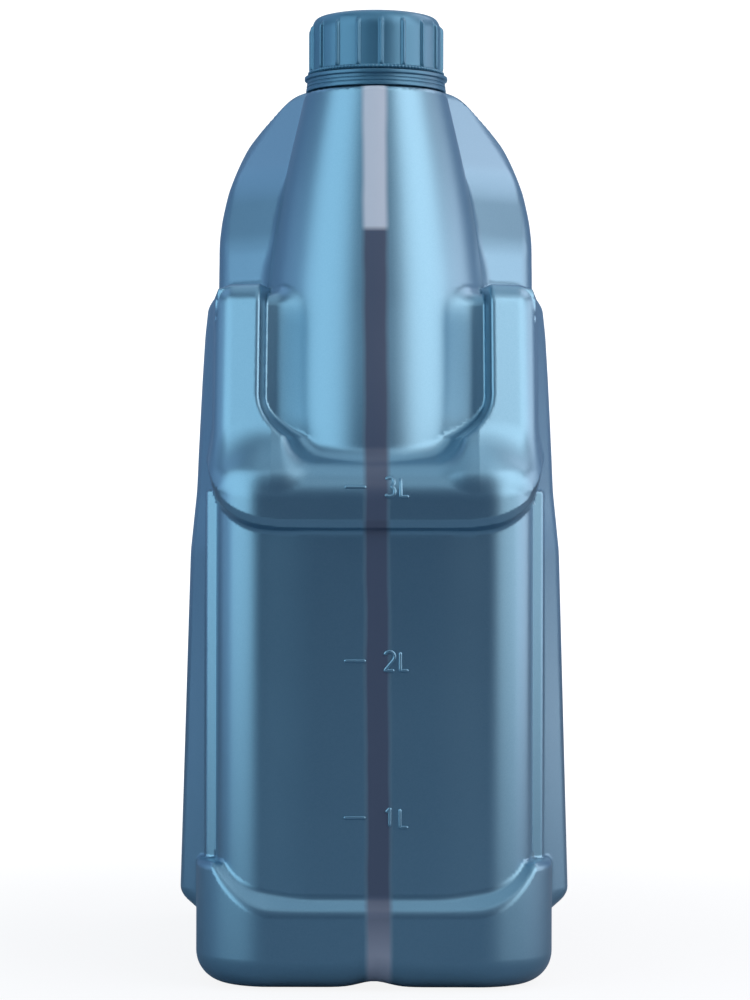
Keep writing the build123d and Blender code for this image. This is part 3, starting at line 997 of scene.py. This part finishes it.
floor_z, sweep_y = -0.0003, 2.2
pale = (0.25, 0.30, 0.36)
# The backdrop shows glossy rays a dim blue glow, a painted reflection: the bottle mirrors blue where the camera
# sees a white sweep.
backdrop_painted_reflection = (0.20, 0.29, 0.46)
floor_corners = [(-4, -3, floor_z), (4, -3, floor_z), (4, sweep_y, floor_z), (-4, sweep_y, floor_z)]
backdrop_corners = [(-4, sweep_y, -0.1), (4, sweep_y, -0.1), (4, sweep_y, 3), (-4, sweep_y, 3)]
stage_plane("floor", floor_corners, pale, 0.7)
stage_plane("backdrop", backdrop_corners, pale, 1.0, backdrop_painted_reflection)

# %% [markdown]
# ## The room
# What the glossy front mirrors is the room around the camera. It is a dim blue, which gives the front its deep
# colour, and white only where the camera looks past the sweep.

# %% World
scene = bpy.context.scene
scene.view_settings.view_transform = "Standard"
world = bpy.data.worlds.new("studio")
scene.world = world
world.use_nodes = True
nodes = Nodes(world.node_tree)
dim = nodes.node("ShaderNodeBackground", inputs={"Color": (0.22, 0.46, 1.0, 1), "Strength": 0.13})
bright = nodes.node("ShaderNodeBackground", inputs={"Color": (1, 1, 1, 1), "Strength": 1.0})
room = nodes.seen_or("Is Camera Ray", bright, dim)
nodes.feed(world.node_tree.nodes["World Output"].inputs["Surface"], room)
print("world", world.name, "with", len(world.node_tree.nodes), "nodes")

# %% [markdown]
# ## Lamps
# A pearl surface is shaped by what it mirrors, so large soft boxes do more than bare lamps. A tall one stands
# on each side in front, in two parts, because the leaning spout and pillars mirror the upper part and the
# upright faces the lower one. Others at the sides and behind light the broad sides, and one hangs above.


# %% Soft boxes
def soft_box(name, place, aim, width, height, power, colour=(1, 1, 1)):
    """Rectangular lamp that looks at a point."""
    lamp = bpy.data.lights.new(name, "AREA")
    lamp.shape = "RECTANGLE"
    lamp.size, lamp.size_y = width, height
    lamp.energy = power
    lamp.color = colour
    lamp_object = bpy.data.objects.new(name, lamp)
    scene.collection.objects.link(lamp_object)
    lamp_object.location = place
    direction = np.array(aim) - np.array(place)
    turn = math.atan2(-direction[0], direction[1])
    tilt = math.atan2(math.hypot(direction[0], direction[1]), -direction[2])
    lamp_object.rotation_euler = (tilt, 0, turn)
    print(name, width, "by", height, "m,", power, "W")


middle = (0, 0, 0.20)
cool, warm = (0.88, 0.97, 1.0), (1.0, 0.86, 0.81)
cool_fill, warm_fill = (0.70, 0.80, 1.0), (1.0, 0.78, 0.76)
soft_box("left_box", (-0.768, -0.559, 0.825), (0, 0, 0.825), 0.924, 0.85, 4.5, cool)
soft_box("left_low_box", (-0.768, -0.559, 0.19), (0, 0, 0.19), 0.924, 0.42, 2.1, cool)
soft_box("right_box", (0.778, -0.546, 0.825), (0, 0, 0.825), 0.846, 0.85, 6.5, warm)
soft_box("right_low_box", (0.778, -0.546, 0.19), (0, 0, 0.19), 0.846, 0.42, 1.9, warm)
soft_box("high_box", (0, -0.75, 0.98), middle, 0.9, 0.35, 0.8)
soft_box("high_right_box", (0.52, -0.45, 1.10), middle, 0.6, 0.5, 1.2, warm)
soft_box("left_fill", (-1.0, 0.10, 0.30), middle, 0.75, 0.7, 1.25, cool_fill)
soft_box("right_fill", (1.0, 0.10, 0.30), middle, 0.75, 0.7, 3.8, warm_fill)
soft_box("upper_left_fill", (-0.77, 0.36, 1.10), middle, 0.8, 0.6, 1.3, cool_fill)
soft_box("upper_right_fill", (0.77, 0.36, 1.10), middle, 0.8, 0.6, 3.6, warm_fill)
soft_box("overhead", (0, 0.30, 1.35), (0, 0.29, 0), 1.0, 1.8, 4.4, (0.92, 0.97, 1.0))

# %% [markdown]
# ## Camera
# The photograph is taken straight from the front, level with the middle of the bottle. How fast the bottle
# narrows toward its rear fixes the distance, and the height of the picture then fixes the lens: 3.065 times as
# long as the picture is high. A trace of roll follows the photograph.

# %% Camera
picture_height = 24.0
camera_data = bpy.data.cameras.new("camera")
camera_data.sensor_fit = "VERTICAL"
camera_data.sensor_height = picture_height
camera_data.lens = picture_height * 3.065
camera = bpy.data.objects.new("camera", camera_data)
scene.collection.objects.link(camera)
camera.location = (0, -1.0555, 0.154)
camera.rotation_euler = (math.pi / 2, math.radians(-0.14), 0)
scene.camera = camera
print("camera at", camera.location.to_tuple(4), "with a lens of", round(camera_data.lens, 2), "mm")
